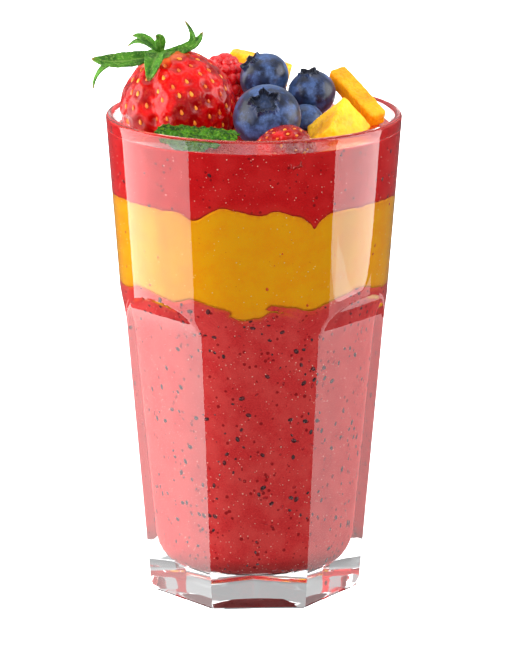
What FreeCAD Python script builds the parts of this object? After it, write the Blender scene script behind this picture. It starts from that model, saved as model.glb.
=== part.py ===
import FreeCAD, Part
import math
import os
import Sketcher

# A layered berry smoothie in its tall pressed tumbler, with fruit on top.
# Frame: origin at the middle of the foot, +Z up along the axis of the glass, -Y is the side that
# faces the drinker. Millimetres and degrees.

SIZES = [
    # tumbler
    ("glass_height", 140.0),
    ("rim_radius", 42.3),
    ("foot_cone_radius", 31.8),
    ("lip_round", 1.1),
    ("rim_wall", 2.4),
    ("facet_count", 7.0),
    ("facet_turn", 2.9),
    ("facet_flat_foot", 27.75),
    ("facet_flat_top", 33.95),
    ("facet_arc_start", 79.8),
    ("facet_arc_radius", 20.0),
    ("floor_thickness", 8.2),
    ("cavity_foot_radius", 21.9),
    ("cavity_corner_round", 8.5),
    ("waist_level", 84.0),
    ("waist_radius", 28.4),
    ("waist_round", 100.0),
    # drink
    ("fill_gap", 4.4),
    ("mango_top_level", 117.8),
    ("mango_top_wave", 1.5),
    ("mango_foot_level", 90.3),
    ("mango_foot_wave", 1.3),
    # whole strawberry
    ("strawberry_radius", 16.3),
    ("strawberry_shoulder", 16.0),
    ("strawberry_tip", 18.5),
    ("leaf_disc_radius", 4.2),
    ("leaf_thickness", 0.8),
    # small strawberry
    ("small_radius", 7.8),
    ("small_shoulder", 7.5),
    ("small_tip", 11.0),
    # raspberry
    ("raspberry_radius", 6.8),
    ("raspberry_tip", 8.0),
    ("raspberry_mouth", 9.0),
    # blueberries: radius across and half the height of each
    ("blueberry_back_radius", 7.3),
    ("blueberry_back_rise", 6.7),
    ("blueberry_front_radius", 9.6),
    ("blueberry_front_rise", 8.2),
    ("blueberry_right_radius", 6.9),
    ("blueberry_right_rise", 6.5),
    ("blueberry_low_radius", 5.3),
    ("blueberry_low_rise", 5.2),
    ("blueberry_nub_radius", 5.2),
    ("blueberry_nub_rise", 5.0),
    ("crown_radius", 2.7),
    ("crown_rise", 0.7),
    ("crown_wall", 0.7),
    # mango pieces
    ("wedge_length", 22.0),
    ("wedge_width", 5.4),
    ("wedge_thickness", 5.0),
    ("chunk_length", 15.0),
    ("chunk_width", 12.0),
    ("chunk_depth", 12.5),
    ("chunk_taper_long", 6.4),
    ("chunk_taper_wide", 3.5),
    ("slab_length", 18.0),
    ("slab_width", 7.5),
    ("slab_height", 17.5),
    ("cut_round", 0.7),
    # mint leaf
    ("mint_length", 24.5),
    ("mint_width", 11.0),
    ("mint_thickness", 1.6),
    ("mint_bend_radius", 9.0),
]

# Leaves of the strawberry: where each tip lies from the middle of the leaf rosette, how far its
# middle is raised over the straight line, the way its broad face looks, and the widest width.
SEPALS = [
    ((-19.5, -3.0, -0.8), (-1.0, -2.5, -1.2), (-0.15, -0.75, 0.65), 5.4),
    ((-19.2, 0.5, -10.4), (-3.5, -0.5, 3.8), (-0.5, -0.5, 0.7), 3.6),
    ((-7.8, 4.0, 4.6), (0.0, 0.5, 1.5), (0.3, -0.8, 0.4), 3.0),
    ((-9.2, 6.5, 1.0), (0.0, 1.0, 2.2), (0.2, -0.7, 0.7), 3.2),
    ((-1.2, -2.0, 5.2), (0.6, -0.5, 1.6), (0.1, -0.9, 0.3), 3.6),
    ((7.2, 5.0, 8.6), (5.0, 1.0, -2.0), (-0.4, -0.7, 0.5), 3.2),
    ((12.2, 2.0, 6.0), (2.5, 0.5, -1.0), (-0.2, -0.7, 0.6), 4.2),
    ((-3.0, -13.5, -5.4), (0.4, -3.6, 3.4), (-0.2, -0.8, 0.5), 6.2),
]

doc = FreeCAD.newDocument("berry_smoothie")
sheet = doc.addObject("Spreadsheet::Sheet", "sizes")
for row, (alias, value) in enumerate(SIZES, start=1):
    sheet.set("A%d" % row, alias)
    sheet.set("B%d" % row, repr(value))
    sheet.setAlias("B%d" % row, alias)
doc.recompute()


def size(alias):
    """The value of one cell of the sheet."""
    return float(sheet.get(alias))


def vec(x, y, z):
    return FreeCAD.Vector(x, y, z)


def bind(obj, prop, expression):
    """Ties a property to the sheet; every alias in the expression is written with a leading $."""
    obj.setExpression(prop, expression.replace("$", sheet.Name + "."))


def evaluate(expression):
    """The value of such an expression, for a sketch's starting geometry."""
    text = expression
    for alias, value in sorted(SIZES, key=lambda item: -len(item[0])):
        text = text.replace("$" + alias, repr(value))
    total = 0.0
    for term in text.replace("-", "+-").split("+"):
        if term.strip():
            total += float(term.replace(" ", ""))
    return total


def origin_plane(body, role):
    return [item for item in body.Origin.OriginFeatures if item.Role == role][0]


def new_body(name):
    return doc.addObject("PartDesign::Body", name)


def new_sketch(body, name, role):
    sketch = body.newObject("Sketcher::SketchObject", name)
    sketch.AttachmentSupport = [(origin_plane(body, role), "")]
    sketch.MapMode = "FlatFace"
    return sketch


def closed_outline(sketch, corners):
    """Lines through the corners. A corner is a pair of expressions in named sizes and is held there."""
    points = [vec(evaluate(across), evaluate(up), 0) for across, up in corners]
    count = len(points)
    for index in range(count):
        sketch.addGeometry(Part.LineSegment(points[index], points[(index + 1) % count]), False)
    for index in range(count):
        sketch.addConstraint(Sketcher.Constraint("Coincident", index, 2, (index + 1) % count, 1))
    for index, (across, up) in enumerate(corners):
        hold(sketch, index, 1, across, up)


def hold(sketch, edge, end, across, up):
    """Holds one end of an edge at a distance from each axis of the sketch."""
    for kind, axis, expression in (("DistanceX", -2, across), ("DistanceY", -1, up)):
        value = evaluate(expression)
        if expression == "0":
            sketch.addConstraint(Sketcher.Constraint("PointOnObject", edge, end, axis))
        else:
            number = sketch.addConstraint(Sketcher.Constraint(kind, -1, 1, edge, end, value))
            bind(sketch, "Constraints[%d]" % number, expression)


def ring_edges(shape, height, radius=None):
    """Numbers of the round edges that lie level at one height, and at one radius if it is given."""
    found = []
    for number, edge in enumerate(shape.Edges, start=1):
        box = edge.BoundBox
        level = abs(box.ZMin - height) < 1e-4 and abs(box.ZMax - height) < 1e-4
        if level and isinstance(edge.Curve, Part.Circle):
            if radius is None or abs(edge.Curve.Radius - radius) < 1e-3:
                found.append(number)
    return found


# ---------------------------------------------------------------- tumbler
# The outside is a plain cone with seven flat facets ground into its lower part; each facet ends
# in an arc that runs out through the cone, which draws the arch at its top.
outside = new_body("tumbler_outside")
profile = new_sketch(outside, "outside_profile", "XZ_Plane")
closed_outline(profile, [
    ("0", "0"),
    ("$foot_cone_radius", "0"),
    ("$rim_radius", "$glass_height"),
    ("0", "$glass_height"),
])
cone = outside.newObject("PartDesign::Revolution", "outside_cone")
cone.Profile = profile
cone.ReferenceAxis = (profile, ["V_Axis"])
cone.Angle = 360.0
doc.recompute()

facet_profile = new_sketch(outside, "facet_profile", "XZ_Plane")
foot_x = size("facet_flat_foot")
top_x = size("facet_flat_top")
start_z = size("facet_arc_start")
arc_radius = size("facet_arc_radius")
lean = math.atan2(top_x - foot_x, start_z)
middle = vec(top_x + arc_radius * math.cos(lean), start_z - arc_radius * math.sin(lean), 0)
outer_x = middle.x
outer_z = middle.y + arc_radius
facet_profile.addGeometry(Part.LineSegment(vec(foot_x, 0, 0), vec(top_x, start_z, 0)), False)
facet_profile.addGeometry(
    Part.ArcOfCircle(Part.Circle(middle, vec(0, 0, 1), arc_radius), math.pi / 2, math.pi - lean),
    False,
)
facet_profile.addGeometry(Part.LineSegment(vec(outer_x, outer_z, 0), vec(outer_x, 0, 0)), False)
facet_profile.addGeometry(Part.LineSegment(vec(outer_x, 0, 0), vec(foot_x, 0, 0)), False)
facet_profile.addConstraint(Sketcher.Constraint("Tangent", 0, 2, 1, 2))
facet_profile.addConstraint(Sketcher.Constraint("Coincident", 1, 1, 2, 1))
facet_profile.addConstraint(Sketcher.Constraint("Coincident", 2, 2, 3, 1))
facet_profile.addConstraint(Sketcher.Constraint("Coincident", 3, 2, 0, 1))
facet_profile.addConstraint(Sketcher.Constraint("Vertical", 2))
facet_profile.addConstraint(Sketcher.Constraint("Horizontal", 3))
facet_profile.addConstraint(Sketcher.Constraint("Vertical", 1, 3, 1, 1))
hold(facet_profile, 0, 1, "$facet_flat_foot", "0")
hold(facet_profile, 0, 2, "$facet_flat_top", "$facet_arc_start")
number = facet_profile.addConstraint(Sketcher.Constraint("Radius", 1, arc_radius))
bind(facet_profile, "Constraints[%d]" % number, "$facet_arc_radius")
doc.recompute()

facet = outside.newObject("PartDesign::Pocket", "facet")
facet.Profile = facet_profile
facet.Midplane = True
bind(facet, "Length", "4 * $rim_radius")
doc.recompute()
if facet.Shape.Volume >= cone.Shape.Volume - 1.0:
    raise RuntimeError("the facet cuts nothing")

facets = outside.newObject("PartDesign::PolarPattern", "facets")
facets.Originals = [facet]
facets.Axis = (facet_profile, ["V_Axis"])
facets.Angle = 360.0
bind(facets, "Occurrences", "$facet_count")
outside.Tip = facets
outside.Placement = FreeCAD.Placement(
    vec(0, 0, 0), FreeCAD.Rotation(vec(0, 0, 1), size("facet_turn") - 90.0)
)
doc.recompute()
if facets.Shape.Volume >= facet.Shape.Volume - 1.0:
    raise RuntimeError("the facets are not repeated round the glass")

cavity = new_body("tumbler_cavity")
cavity_profile = new_sketch(cavity, "cavity_profile", "XZ_Plane")
closed_outline(cavity_profile, [
    ("0", "$floor_thickness"),
    ("$cavity_foot_radius", "$floor_thickness"),
    ("$waist_radius", "$waist_level"),
    ("$rim_radius - $rim_wall", "$glass_height"),
    ("0", "$glass_height"),
])
cavity_cone = cavity.newObject("PartDesign::Revolution", "cavity_cone")
cavity_cone.Profile = cavity_profile
cavity_cone.ReferenceAxis = (cavity_profile, ["V_Axis"])
cavity_cone.Angle = 360.0
doc.recompute()
cavity_round = cavity.newObject("PartDesign::Fillet", "cavity_round")
floor_edge = ring_edges(cavity_cone.Shape, size("floor_thickness"))[0]
cavity_round.Base = (cavity_cone, ["Edge%d" % floor_edge])
bind(cavity_round, "Radius", "$cavity_corner_round")
doc.recompute()
waist_soft = cavity.newObject("PartDesign::Fillet", "waist_soft")
waist_edge = ring_edges(cavity_round.Shape, size("waist_level"))[0]
waist_soft.Base = (cavity_round, ["Edge%d" % waist_edge])
bind(waist_soft, "Radius", "$waist_round")
doc.recompute()

tumbler_wall = doc.addObject("Part::Cut", "tumbler_wall")
tumbler_wall.Base = outside
tumbler_wall.Tool = cavity
doc.recompute()

glass = doc.addObject("Part::Fillet", "glass")
glass.Base = tumbler_wall
lip_edges = ring_edges(tumbler_wall.Shape, size("glass_height"))
glass.Edges = [(number, size("lip_round"), size("lip_round")) for number in lip_edges]
glass.Label = "glass"
doc.recompute()

# ---------------------------------------------------------------- drink
# The drink fills the cavity to its level; two waving surfaces part it into three layers.
reach = size("rim_radius") + 8.0


def wave_surface(level, height, waves):
    """A surface round one level that waves by the wall and is calmer in the middle."""
    steps = 24
    rows = []
    for row in range(steps + 1):
        line = []
        for column in range(steps + 1):
            x = reach * (2.0 * row / steps - 1.0)
            y = reach * (2.0 * column / steps - 1.0)
            turn = math.atan2(x, -y)
            calm = min(1.0, math.hypot(x, y) / size("rim_radius")) ** 2
            rise = sum(share * math.cos(count * turn + shift) for count, share, shift in waves)
            line.append(vec(x, y, level + height * calm * rise))
        rows.append(line)
    surface = Part.BSplineSurface()
    surface.interpolate(rows)
    return surface.toShape()


def below(name, level, height, waves):
    """Everything under such a surface, as a tool for parting the drink."""
    tool = doc.addObject("Part::Feature", name)
    tool.Shape = wave_surface(level, height, waves).extrude(vec(0, 0, -2.0 * size("glass_height")))
    return tool


fill_block = doc.addObject("Part::Cylinder", "fill_block")
bind(fill_block, "Radius", "2 * $rim_radius")
bind(fill_block, "Height", "$glass_height - $fill_gap")
contents = doc.addObject("Part::Common", "contents")
contents.Base = cavity
contents.Tool = fill_block
under_top = below(
    "under_mango_top", size("mango_top_level"), size("mango_top_wave"),
    ((6, 0.9, 0.05), (2, 0.2, 0.4), (9, 0.25, 1.1)),
)
under_foot = below(
    "under_mango_foot", size("mango_foot_level"), size("mango_foot_wave"),
    ((4, -0.75, 0.15), (7, 0.35, 2.2), (3, 0.25, 0.9)),
)
doc.recompute()

lower = doc.addObject("Part::Common", "lower_smoothie")
lower.Base = contents
lower.Tool = under_foot
lower.Label = "lower_smoothie"
lower_two = doc.addObject("Part::Common", "lower_two_layers")
lower_two.Base = contents
lower_two.Tool = under_top
mango_layer = doc.addObject("Part::Cut", "mango_layer")
mango_layer.Base = lower_two
mango_layer.Tool = under_foot
mango_layer.Label = "mango_layer"
upper_full = doc.addObject("Part::Cut", "upper_full")
upper_full.Base = contents
upper_full.Tool = under_top
doc.recompute()


# ---------------------------------------------------------------- fruit
def aimed(direction, place):
    """A placement at one point whose own +Z looks along the direction."""
    return FreeCAD.Placement(place, FreeCAD.Rotation(vec(0, 0, 1), direction))


def two_part_berry(name, radius, rise, drop, placement):
    """A berry of two half ellipsoids that share their widest circle."""
    halves = []
    for part, reach_alias, first, last in (("top", rise, 0.0, 90.0), ("tip", drop, -90.0, 0.0)):
        half = doc.addObject("Part::Ellipsoid", "%s_%s" % (name, part))
        bind(half, "Radius1", "$" + reach_alias)
        bind(half, "Radius2", "$" + radius)
        bind(half, "Radius3", "$" + radius)
        half.Angle1 = first
        half.Angle2 = last
        half.Placement = placement
        halves.append(half)
    berry = doc.addObject("Part::Fuse", name)
    berry.Base = halves[0]
    berry.Tool = halves[1]
    berry.Refine = True
    berry.Label = name
    return berry


def blueberry(name, place, crown_direction):
    """A flattened round berry with a low ring-shaped crown round its pit."""
    placement = aimed(crown_direction, place)
    rise = name + "_rise"
    flesh = doc.addObject("Part::Ellipsoid", name + "_flesh")
    bind(flesh, "Radius1", "$" + rise)
    bind(flesh, "Radius2", "$%s_radius" % name)
    bind(flesh, "Radius3", "$%s_radius" % name)
    flesh.Angle1 = -90.0
    flesh.Angle2 = 90.0
    flesh.Placement = placement
    crown = doc.addObject("Part::Cone", name + "_crown")
    bind(crown, "Radius1", "$crown_radius - $crown_rise")
    bind(crown, "Radius2", "$crown_radius")
    bind(crown, "Height", "3 * $crown_rise")
    crown.Placement = placement.multiply(
        FreeCAD.Placement(vec(0, 0, size(rise) - 2 * size("crown_rise")), FreeCAD.Rotation())
    )
    crowned = doc.addObject("Part::Fuse", name + "_crowned")
    crowned.Base = flesh
    crowned.Tool = crown
    pit = doc.addObject("Part::Cone", name + "_pit")
    bind(pit, "Radius1", "$crown_radius - $crown_wall - $crown_rise")
    bind(pit, "Radius2", "$crown_radius - $crown_wall")
    bind(pit, "Height", "3 * $crown_rise")
    pit.Placement = placement.multiply(
        FreeCAD.Placement(vec(0, 0, size(rise) - 1.4 * size("crown_rise")), FreeCAD.Rotation())
    )
    berry = doc.addObject("Part::Cut", name)
    berry.Base = crowned
    berry.Tool = pit
    berry.Label = name
    return berry


def rounded_block(name, lengths, placement):
    """A cut block of fruit with softened edges."""
    block = doc.addObject("Part::Box", name + "_block")
    for prop, alias in zip(("Length", "Width", "Height"), lengths):
        bind(block, prop, "$" + alias)
    block.Placement = placement
    doc.recompute()
    piece = doc.addObject("Part::Fillet", name)
    piece.Base = block
    radius = size("cut_round")
    piece.Edges = [(number, radius, radius) for number in range(1, len(block.Shape.Edges) + 1)]
    piece.Label = name
    return piece


level = size("glass_height") - size("fill_gap")
strawberry_place = vec(-21.7, 1.0, level + 5.4)
strawberry_aim = vec(-0.30, -0.04, 0.95)
strawberry_seat = aimed(strawberry_aim, strawberry_place)
strawberry = two_part_berry(
    "strawberry", "strawberry_radius", "strawberry_shoulder", "strawberry_tip", strawberry_seat
)
small_strawberry = two_part_berry(
    "small_strawberry", "small_radius", "small_shoulder", "small_tip",
    aimed(vec(0.93, 0.16, 0.20), vec(9.6, -29.6, level - 1.3)),
)
raspberry = two_part_berry(
    "raspberry", "raspberry_radius", "raspberry_tip", "raspberry_mouth",
    aimed(vec(0.05, 0.10, 1.0), vec(-8.8, 22.0, level + 8.8)),
)
blueberry_back = blueberry("blueberry_back", vec(3.0, 14.4, level + 11.6), vec(-0.66, -0.12, 0.74))
blueberry_front = blueberry("blueberry_front", vec(3.7, -14.5, level + 5.8), vec(-0.08, -0.72, 0.70))
blueberry_right = blueberry("blueberry_right", vec(16.6, 10.6, level + 7.8), vec(-0.16, -0.12, 0.98))
blueberry_low = blueberry("blueberry_low", vec(14.8, -0.6, level + 1.4), vec(0.3, 0.8, 0.5))
blueberry_nub = blueberry("blueberry_nub", vec(0.6, 2.0, level + 4.4), vec(-0.62, -0.25, 0.75))

mango_wedge = rounded_block(
    "mango_wedge", ("wedge_length", "wedge_width", "wedge_thickness"),
    FreeCAD.Placement(
        vec(26.3, 18.0, level + 14.6),
        FreeCAD.Rotation(vec(0.537, -0.693, -0.485), vec(-0.835, -0.522, -0.177), vec(0, 0, -1), "XYZ"),
    ),
)
mango_slab = rounded_block(
    "mango_slab", ("slab_length", "slab_width", "slab_height"),
    FreeCAD.Placement(vec(-11.2, 29.5, level - 0.5), FreeCAD.Rotation(-10.0, 14.0, 0.0)),
)

# The front chunk is a wedge cut from the side of the fruit: its upper corner falls towards -Y.
chunk_block = doc.addObject("Part::Wedge", "mango_chunk_block")
for prop, expression in (
    ("Xmax", "$chunk_width"), ("X2min", "$chunk_taper_wide"), ("X2max", "$chunk_width"),
    ("Zmax", "$chunk_length"), ("Z2min", "$chunk_taper_long"), ("Z2max", "$chunk_length"),
    ("Ymax", "$chunk_depth"),
):
    bind(chunk_block, prop, expression)
for prop in ("Xmin", "Ymin", "Zmin"):
    setattr(chunk_block, prop, 0.0)
to_right = vec(0.557, -0.08, -0.827)
to_left = vec(-0.737, 0.125, -0.669)
chunk_block.Placement = FreeCAD.Placement(
    vec(25.8, -8.6, level + 11.4),
    FreeCAD.Rotation(to_right, to_left.cross(to_right), to_left, "ZXY"),
)
doc.recompute()
mango_chunk = doc.addObject("Part::Fillet", "mango_chunk")
mango_chunk.Base = chunk_block
mango_chunk.Edges = [
    (number, size("cut_round"), size("cut_round"))
    for number in range(1, len(chunk_block.Shape.Edges) + 1)
]
mango_chunk.Label = "mango_chunk"

# The mint leaf is a curved strip with a leaf-shaped outline that lies over the edge of the fruit.
mint_outer = doc.addObject("Part::Cylinder", "mint_outer")
bind(mint_outer, "Radius", "$mint_bend_radius")
bind(mint_outer, "Height", "$mint_length")
mint_inner = doc.addObject("Part::Cylinder", "mint_inner")
bind(mint_inner, "Radius", "$mint_bend_radius - $mint_thickness")
bind(mint_inner, "Height", "$mint_length")
mint_tube = doc.addObject("Part::Cut", "mint_tube")
mint_tube.Base = mint_outer
mint_tube.Tool = mint_inner
mint_outline = doc.addObject("Part::Feature", "mint_outline")
half = size("mint_length") / 2.0
side = size("mint_width") / 2.0
left_edge = Part.Arc(vec(0, -side * 0.1, 0), vec(0, -side, half), vec(0, -side * 0.1, 2 * half))
right_edge = Part.Arc(vec(0, side * 0.1, 2 * half), vec(0, side, half), vec(0, side * 0.1, 0))
outline_wire = Part.Wire([
    left_edge.toShape(),
    Part.LineSegment(vec(0, -side * 0.1, 2 * half), vec(0, side * 0.1, 2 * half)).toShape(),
    right_edge.toShape(),
    Part.LineSegment(vec(0, side * 0.1, 0), vec(0, -side * 0.1, 0)).toShape(),
])
mint_outline.Shape = Part.Face(outline_wire).extrude(vec(2.0 * size("mint_bend_radius"), 0, 0))
mint_leaf = doc.addObject("Part::Common", "mint_leaf")
mint_leaf.Base = mint_tube
mint_leaf.Tool = mint_outline
mint_leaf.Label = "mint_leaf"
mint_bulge = vec(0, -0.38, 0.925)
mint_line = vec(1, 0, 0)
mint_turn = FreeCAD.Rotation(vec(0, 0, 1), -23.0).multiply(
    FreeCAD.Rotation(mint_bulge, mint_line.cross(mint_bulge), mint_line, "ZXY")
)
mint_middle = vec(-14.8, -27.4, level - 3.2)
mint_leaf.Placement = FreeCAD.Placement(
    mint_middle - mint_turn.multVec(vec(0, 0, half)), mint_turn
)
doc.recompute()


def sepal(base, tip, lift, facing, width):
    """One pointed leaf: a thin closed strip that follows a bent middle line."""
    steps = 10
    thickness = size("leaf_thickness")
    middle = (base + tip) * 0.5 + lift
    along = tip - base
    across = along.cross(facing)
    across.normalize()
    rings = []
    for step in range(steps + 1):
        share = step / steps
        line = base * (1 - share) ** 2 + middle * (2 * share * (1 - share)) + tip * share ** 2
        line += (middle - (base + tip) * 0.5) * (2 * share * (1 - share))
        half_width = width * (0.06 + 0.44 * math.sin(math.pi * (0.12 + 0.88 * share)) ** 0.8)
        normal = across.cross(along)
        normal.normalize()
        up = normal * (thickness * (1.0 - 0.6 * share) / 2.0)
        rings.append([
            line - across * half_width, line - up, line + across * half_width, line + up,
        ])
    faces = []
    for first, second in zip(rings, rings[1:]):
        for index in range(4):
            after = (index + 1) % 4
            quad = (first[index], first[after], second[after], second[index])
            for corners in ((quad[0], quad[1], quad[2]), (quad[0], quad[2], quad[3])):
                faces.append(Part.Face(Part.makePolygon(list(corners) + [corners[0]])))
    for ring in (rings[0], rings[-1]):
        for corners in ((ring[0], ring[1], ring[2]), (ring[0], ring[2], ring[3])):
            faces.append(Part.Face(Part.makePolygon(list(corners) + [corners[0]])))
    shell = Part.makeShell(faces)
    shell.sewShape()
    solid = Part.makeSolid(shell)
    if solid.Volume < 0:
        solid.reverse()
    return solid


crown_point = strawberry_seat.multVec(vec(0, 0, size("strawberry_shoulder")))
rosette = doc.addObject("Part::Feature", "leaf_blades")
disc_seat = aimed(strawberry_aim, strawberry_seat.multVec(vec(0, 0, size("strawberry_shoulder") - 1.2)))
disc = Part.makeCylinder(size("leaf_disc_radius"), 2.4)
disc.Placement = disc_seat
blades = []
for tip_offset, lift, facing, width in SEPALS:
    root = crown_point + strawberry_aim * 0.6
    blades.append(sepal(root, root + vec(*tip_offset), vec(*lift), vec(*facing), width))
rosette.Shape = disc.multiFuse(blades)
strawberry_leaves = doc.addObject("Part::Cut", "strawberry_leaves")
strawberry_leaves.Base = rosette
strawberry_leaves.Tool = strawberry
strawberry_leaves.Label = "strawberry_leaves"

sunk_fruit = [
    strawberry, small_strawberry, raspberry, blueberry_front, blueberry_low, blueberry_nub,
    mango_wedge, mango_chunk, mango_slab, mint_leaf,
]
sunk = doc.addObject("Part::MultiFuse", "sunk_fruit")
sunk.Shapes = sunk_fruit
upper = doc.addObject("Part::Cut", "upper_smoothie")
upper.Base = upper_full
upper.Tool = sunk
upper.Label = "upper_smoothie"
doc.recompute()

# ---------------------------------------------------------------- checks and files
PIECES = [
    glass, lower, mango_layer, upper, strawberry, strawberry_leaves, small_strawberry, raspberry,
    blueberry_back, blueberry_front, blueberry_right, blueberry_low, blueberry_nub,
    mango_wedge, mango_chunk, mango_slab, mint_leaf,
]
for obj in doc.Objects:
    if "Invalid" in obj.State or "Error" in obj.State:
        raise RuntimeError("%s did not recompute" % obj.Name)
for piece in PIECES:
    if piece.Shape.isNull() or not piece.Shape.isValid():
        raise RuntimeError("%s has no sound shape" % piece.Label)
    if len(piece.Shape.Solids) != 1:
        raise RuntimeError("%s is %d solids" % (piece.Label, len(piece.Shape.Solids)))

os.makedirs("parts", exist_ok=True)
for piece in PIECES:
    piece.Shape.exportStep("parts/%s.step" % piece.Label)
    print("%-18s %9.1f cubic mm" % (piece.Label, piece.Shape.Volume))
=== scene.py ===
import math

import bmesh
import bpy
import numpy as np
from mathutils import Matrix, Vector, noise


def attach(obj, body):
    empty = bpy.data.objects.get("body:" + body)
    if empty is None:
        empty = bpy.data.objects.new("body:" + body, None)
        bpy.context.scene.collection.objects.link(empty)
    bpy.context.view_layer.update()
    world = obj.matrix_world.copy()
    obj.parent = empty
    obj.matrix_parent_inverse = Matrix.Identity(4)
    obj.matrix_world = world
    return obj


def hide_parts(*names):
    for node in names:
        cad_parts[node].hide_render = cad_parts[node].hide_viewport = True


# A layered berry smoothie in its tall seven-sided tumbler, with fruit on top.
# Shapes are worked out in millimetres and turned into metres when a mesh is made.

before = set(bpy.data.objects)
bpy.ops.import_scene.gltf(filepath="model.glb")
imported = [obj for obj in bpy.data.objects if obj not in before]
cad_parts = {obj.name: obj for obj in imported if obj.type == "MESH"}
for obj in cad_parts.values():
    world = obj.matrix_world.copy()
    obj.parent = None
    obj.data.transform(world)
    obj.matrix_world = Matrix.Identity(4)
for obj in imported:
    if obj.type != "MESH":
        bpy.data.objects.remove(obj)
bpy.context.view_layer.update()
MM = 0.001

SIDES = 7
SIDE_TURN = math.radians(2.9)
HEIGHT = 140.0
LEVEL = 135.6             # surface of the drink
CONE_FOOT = 31.78         # outer radius at the foot, before the sides are pressed flat
CONE_LEAN = 0.075
FACET_FOOT = 27.75        # distance from the middle to a flat side at the foot
FACET_LEAN = 6.2 / 79.8
ARCH_START = 79.8         # the flat sides run out in an arch from this height
ARCH_ROUND = 20.0
LIP_ROUND = 1.1
LIP_OUTSIDE = 41.09
LIP_INSIDE = 40.98
FLOOR_TOP = 8.2           # top of the thick foot
FOOT_CAVITY = 21.9        # cavity radius where its wall would meet the floor
WAIST_LEVEL = 84.0        # the wall of the cavity leans out more above this height
WAIST_CAVITY = 28.4
WAIST_ROUND = 100.0
RIM_CAVITY = 39.9
CORNER = 8.5              # round between the cavity's wall and its floor
INTO_WALL = 0.12          # how far the drink reaches into the glass
BIG_PLACE = (-21.7, 1.0, LEVEL + 5.4)      # the big strawberry: middle, and the way its leaf end looks
BIG_AIM = (-0.30, -0.04, 0.95)


# ---------------------------------------------------------------- mesh helpers

def linked(name, mesh):
    """A new object of the mesh, in the scene."""
    piece = bpy.data.objects.new(name, mesh)
    bpy.context.scene.collection.objects.link(piece)
    return piece


def turned_out(mesh, merge=0.0):
    """Turns the faces to point outwards, after vertices nearer than merge become one."""
    form = bmesh.new()
    form.from_mesh(mesh)
    if merge:
        bmesh.ops.remove_doubles(form, verts=form.verts, dist=merge)
    bmesh.ops.recalc_face_normals(form, faces=form.faces)
    form.to_mesh(mesh)
    form.free()


def build(name, points, faces):
    """A smooth mesh object from points in millimetres."""
    mesh = bpy.data.meshes.new(name)
    mesh.from_pydata((np.asarray(points, float) * MM).tolist(), [], faces)
    mesh.update()
    turned_out(mesh, merge=1e-7)
    for face in mesh.polygons:
        face.use_smooth = True
    return linked(name, mesh)


def ring_faces(count, rings, closed=True, cap_first=True, cap_last=True):
    """Quads between rings of equal count; the end rings may be capped."""
    faces = []
    for ring in range(rings - 1):
        low, high = ring * count, (ring + 1) * count
        for step in range(count if closed else count - 1):
            after = (step + 1) % count
            faces.append((low + step, low + after, high + after, high + step))
    if cap_first:
        faces.append(tuple(range(count - 1, -1, -1)))
    if cap_last:
        faces.append(tuple(range((rings - 1) * count, rings * count)))
    return faces


def mark(piece, name, values):
    """Stores one number for each vertex."""
    layer = piece.data.attributes.new(name, "FLOAT", "POINT")
    layer.data.foreach_set("value", np.asarray(values, np.float32))


def points_of(piece):
    """The piece's vertices in millimetres."""
    flat = np.zeros(len(piece.data.vertices) * 3, np.float32)
    piece.data.vertices.foreach_get("co", flat)
    return flat.reshape(-1, 3).astype(float) / MM


def set_points(piece, points):
    piece.data.vertices.foreach_set("co", (np.asarray(points) * MM).astype(np.float32).ravel())
    piece.data.update()


def normals_of(piece):
    flat = np.zeros(len(piece.data.vertices) * 3, np.float32)
    piece.data.vertices.foreach_get("normal", flat)
    return flat.reshape(-1, 3).astype(float)


def ripple(points, size, seed, octaves=2):
    """Soft noise between about -1 and 1 at each point; size is its grain in millimetres."""
    shift = Vector((seed * 7.13, seed * 3.71, seed * 1.37))
    return np.array([
        noise.fractal(Vector(point) / size + shift, 0.8, 2.1, octaves) for point in points
    ])


def unit(vector):
    vector = np.asarray(vector, float)
    return vector / np.linalg.norm(vector)


def applied(piece):
    """Turns the evaluated piece into a plain mesh and drops its modifiers."""
    graph = bpy.context.evaluated_depsgraph_get()
    graph.update()
    mesh = bpy.data.meshes.new_from_object(piece.evaluated_get(graph), preserve_all_data_layers=True,
                                           depsgraph=graph)
    piece.modifiers.clear()
    old = piece.data
    piece.data = mesh
    mesh.name = piece.name
    if old.users == 0:
        bpy.data.meshes.remove(old)
    return piece


def thickened(piece, thickness, offset):
    """Gives an open surface a wall, in millimetres."""
    wall = piece.modifiers.new("thickness", "SOLIDIFY")
    wall.thickness = thickness * MM
    wall.offset = offset
    return applied(piece)


def finished(piece, finish):
    """Makes the piece smooth, with one finish."""
    for face in piece.data.polygons:
        face.use_smooth = True
    piece.data.materials.clear()
    piece.data.materials.append(finish)
    return piece


# ---------------------------------------------------------------- node helpers

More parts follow.
